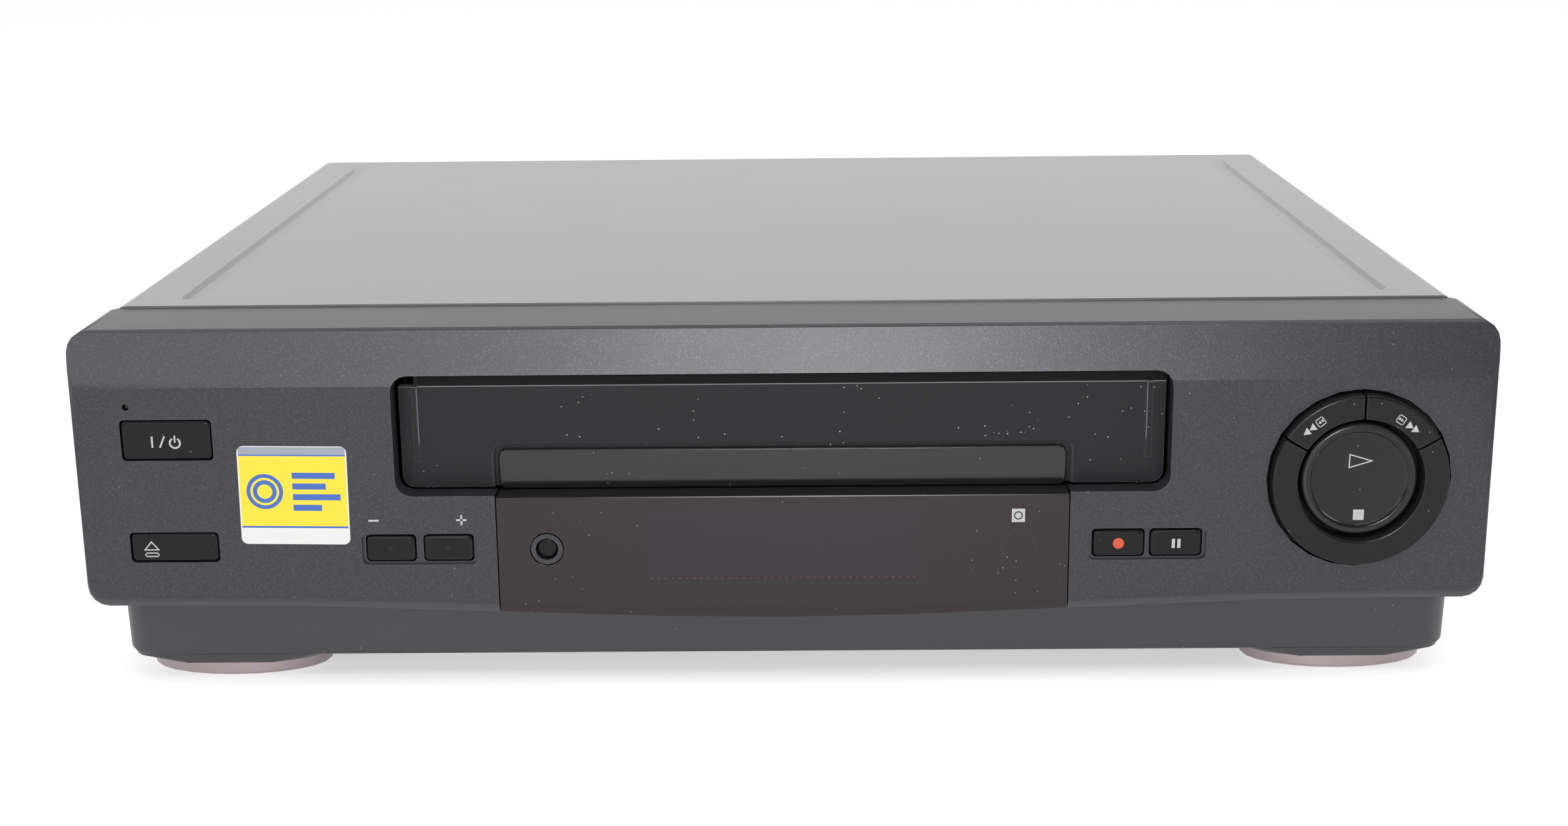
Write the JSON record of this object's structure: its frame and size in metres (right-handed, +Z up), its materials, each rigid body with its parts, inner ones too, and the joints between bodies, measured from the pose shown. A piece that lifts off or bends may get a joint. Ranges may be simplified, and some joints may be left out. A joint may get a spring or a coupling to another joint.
{
  "type": "video cassette recorder",
  "caption": "Dark front-loading video cassette recorder with a swing-in cassette door, smoked display window, push buttons, a round transport dial, steel cover and its tape deck inside.",
  "frame": {"origin": "middle of the footprint, on the surface that the feet stand on", "axes": "+X to the right of the face along its width, +Y back into the recorder, +Z up"},
  "size_m": [0.355, 0.288, 0.095],
  "materials": {
    "panel_plastic": "fine texture",
    "door_plastic": "fine texture",
    "gloss_black": "gloss",
    "smoke": "gloss, smoked",
    "key_plastic": "satin",
    "cover_paint": "satin",
    "base_plastic": "matte",
    "foot_trim": "satin metallic",
    "rubber": "matte",
    "label": "printed film",
    "steel": "brushed",
    "zinc": "plated sheet",
    "dark_steel": "satin",
    "aluminium": "turned",
    "white_plastic": "satin",
    "cream_plastic": "satin",
    "black_plastic": "matte",
    "board_green": "solder mask",
    "board_tan": "resin board",
    "tube_glass": "gloss"
  },
  "bodies": {
    "recorder": {"front_panel": "panel_plastic", "top_cover": "cover_paint", "chassis_base": "base_plastic", "foot_front_left": "foot_trim", "foot_front_right": "foot_trim", "foot_rear_left": "rubber", "foot_rear_right": "rubber", "display_window": "smoke", "transport_ring": "key_plastic", "front_sticker": "label", "ir_receiver": "black_plastic", "display_tube": "tube_glass", "front_board": "board_tan", "main_board": "board_green", "power_board": "board_tan", "transformer": "dark_steel", "tuner_module": "zinc", "scart_sockets": "black_plastic", "mains_inlet": "black_plastic", "rear_panel": "zinc", "deck_plate": "zinc", "side_bracket_left": "zinc", "side_bracket_right": "zinc", "drum_base": "aluminium", "capstan_motor": "board_green", "drive_belt": "rubber", "audio_head": "steel", "erase_head": "steel", "loading_motor": "steel"},
    "door": {"cassette_door": "door_plastic", "door_insert": "gloss_black", "door_spring": "steel"},
    "power_key": {"power_button": "key_plastic"},
    "eject_key": {"eject_button": "key_plastic"},
    "program_down_key": {"program_down_button": "key_plastic"},
    "program_up_key": {"program_up_button": "key_plastic"},
    "record_key": {"record_button": "key_plastic"},
    "pause_key": {"pause_button": "key_plastic"},
    "setup_key": {"setup_button": "key_plastic"},
    "rewind": {"rewind_key": "key_plastic"},
    "fast_forward": {"fast_forward_key": "key_plastic"},
    "rocker": {"play_stop_rocker": "key_plastic"},
    "slider": {"lift_slider": "zinc"},
    "holder": {"cassette_holder": "dark_steel"},
    "drum": {"drum_rotor": "aluminium"},
    "capstan_shaft": {"capstan": "steel"},
    "pinch": {"pinch_arm": "zinc"},
    "pinch_wheel": {"pinch_roller": "rubber"},
    "supply_table": {"supply_reel": "white_plastic"},
    "takeup_table": {"takeup_reel": "white_plastic"},
    "center_wheel": {"center_pulley": "black_plastic"},
    "idler": {"idler_arm": "zinc"},
    "idler_disc": {"idler_wheel": "rubber"},
    "supply_carriage": {"supply_guide": "steel"},
    "takeup_carriage": {"takeup_guide": "steel"},
    "tension": {"tension_arm": "zinc", "tension_spring": "steel"},
    "cam": {"cam_gear": "cream_plastic"},
    "pinion": {"loading_pinion": "cream_plastic"}
  },
  "joints": [
    {"name": "door_hinge", "type": "hinge", "parent": "recorder", "child": "door", "pos_m": [0, -0.13, 0.084], "axis": [-1, 0, 0], "range_deg": [-90, 0], "stiffness_Nm_per_rad": 0.02, "springref_deg": 34.38},
    {"name": "power_press", "type": "slide", "parent": "recorder", "child": "power_key", "axis": [0, 1, 0], "range_m": [0, 0.0008], "stiffness_N_per_m": 220},
    {"name": "eject_press", "type": "slide", "parent": "recorder", "child": "eject_key", "axis": [0, 1, 0], "range_m": [0, 0.0008], "stiffness_N_per_m": 220},
    {"name": "program_down_press", "type": "slide", "parent": "recorder", "child": "program_down_key", "axis": [0, 1, 0], "range_m": [0, 0.0008], "stiffness_N_per_m": 220},
    {"name": "program_up_press", "type": "slide", "parent": "recorder", "child": "program_up_key", "axis": [0, 1, 0], "range_m": [0, 0.0008], "stiffness_N_per_m": 220},
    {"name": "record_press", "type": "slide", "parent": "recorder", "child": "record_key", "axis": [0, 1, 0], "range_m": [0, 0.0008], "stiffness_N_per_m": 220},
    {"name": "pause_press", "type": "slide", "parent": "recorder", "child": "pause_key", "axis": [0, 1, 0], "range_m": [0, 0.0008], "stiffness_N_per_m": 220},
    {"name": "setup_press", "type": "slide", "parent": "recorder", "child": "setup_key", "axis": [0, 1, 0], "range_m": [0, 0.0008], "stiffness_N_per_m": 220},
    {"name": "rewind_press", "type": "slide", "parent": "recorder", "child": "rewind", "axis": [0, 1, 0], "range_m": [0, 0.0008], "stiffness_N_per_m": 220},
    {"name": "fast_forward_press", "type": "slide", "parent": "recorder", "child": "fast_forward", "axis": [0, 1, 0], "range_m": [0, 0.0008], "stiffness_N_per_m": 220},
    {"name": "rocker_tilt", "type": "hinge", "parent": "recorder", "child": "rocker", "pos_m": [0.144, -0.13655, 0.055], "axis": [1, 0, 0], "range_deg": [-2.5, 2.5], "stiffness_Nm_per_rad": 0.3},
    {"name": "holder_travel", "type": "slide", "parent": "recorder", "child": "slider", "axis": [0, 1, 0], "range_m": [0, 0.084]},
    {"name": "holder_drop", "type": "slide", "parent": "slider", "child": "holder", "axis": [0, 0, -1], "range_m": [0, 0.021]},
    {"name": "drum_spin", "type": "hinge", "parent": "recorder", "child": "drum", "pos_m": [-0.006, 0.06, 0.043], "axis": [0, -0.104, 0.9946], "continuous": true},
    {"name": "capstan_spin", "type": "hinge", "parent": "recorder", "child": "capstan_shaft", "pos_m": [0.062, 0.033, 0.02], "axis": [0, 0, 1], "continuous": true},
    {"name": "pinch_swing", "type": "hinge", "parent": "recorder", "child": "pinch", "pos_m": [0.086, 0.019, 0.024], "axis": [0, 0, 1], "range_deg": [-40, 0]},
    {"name": "pinch_roller_spin", "type": "hinge", "parent": "pinch", "child": "pinch_wheel", "pos_m": [0.0674, 0.0111, 0.043], "axis": [0, 0, 1], "continuous": true},
    {"name": "supply_reel_spin", "type": "hinge", "parent": "recorder", "child": "supply_table", "pos_m": [-0.0445, -0.034, 0.025], "axis": [0, 0, 1], "continuous": true},
    {"name": "takeup_reel_spin", "type": "hinge", "parent": "recorder", "child": "takeup_table", "pos_m": [0.0445, -0.034, 0.025], "axis": [0, 0, 1], "continuous": true},
    {"name": "center_pulley_spin", "type": "hinge", "parent": "recorder", "child": "center_wheel", "pos_m": [0, -0.063, 0.02], "axis": [0, 0, 1], "continuous": true},
    {"name": "idler_swing", "type": "hinge", "parent": "recorder", "child": "idler", "pos_m": [0, -0.063, 0.028], "axis": [0, 0, 1], "range_deg": [-23, 23]},
    {"name": "idler_wheel_spin", "type": "hinge", "parent": "idler", "child": "idler_disc", "pos_m": [0, -0.0347, 0.025], "axis": [0, 0, 1], "continuous": true},
    {"name": "supply_guide_travel", "type": "hinge", "parent": "recorder", "child": "supply_carriage", "pos_m": [-0.002, 0.062, 0.022], "axis": [0, 0, 1], "range_deg": [-83, 0]},
    {"name": "takeup_guide_travel", "type": "hinge", "parent": "recorder", "child": "takeup_carriage", "pos_m": [-0.01, 0.062, 0.022], "axis": [0, 0, 1], "range_deg": [0, 83]},
    {"name": "tension_swing", "type": "hinge", "parent": "recorder", "child": "tension", "pos_m": [-0.074, -0.001, 0.023], "axis": [0, 0, 1], "range_deg": [0, 18], "stiffness_Nm_per_rad": 0.01},
    {"name": "cam_turn", "type": "hinge", "parent": "recorder", "child": "cam", "pos_m": [0.076, 0.078, 0.025], "axis": [0, 0, 1], "range_deg": [0, 180]},
    {"name": "pinion_spin", "type": "hinge", "parent": "recorder", "child": "pinion", "pos_m": [0.09206, 0.09584, 0.025], "axis": [0, 0, 1], "continuous": true}
  ],
  "couplings": [
    {"joint": "center_pulley_spin", "follows": "capstan_spin", "ratio": 0.58333},
    {"joint": "idler_wheel_spin", "follows": "capstan_spin", "ratio": -0.4375},
    {"joint": "supply_guide_travel", "follows": "cam_turn", "ratio": -0.46111},
    {"joint": "takeup_guide_travel", "follows": "cam_turn", "ratio": 0.46111},
    {"joint": "pinion_spin", "follows": "cam_turn", "ratio": -3.75}
  ]
}
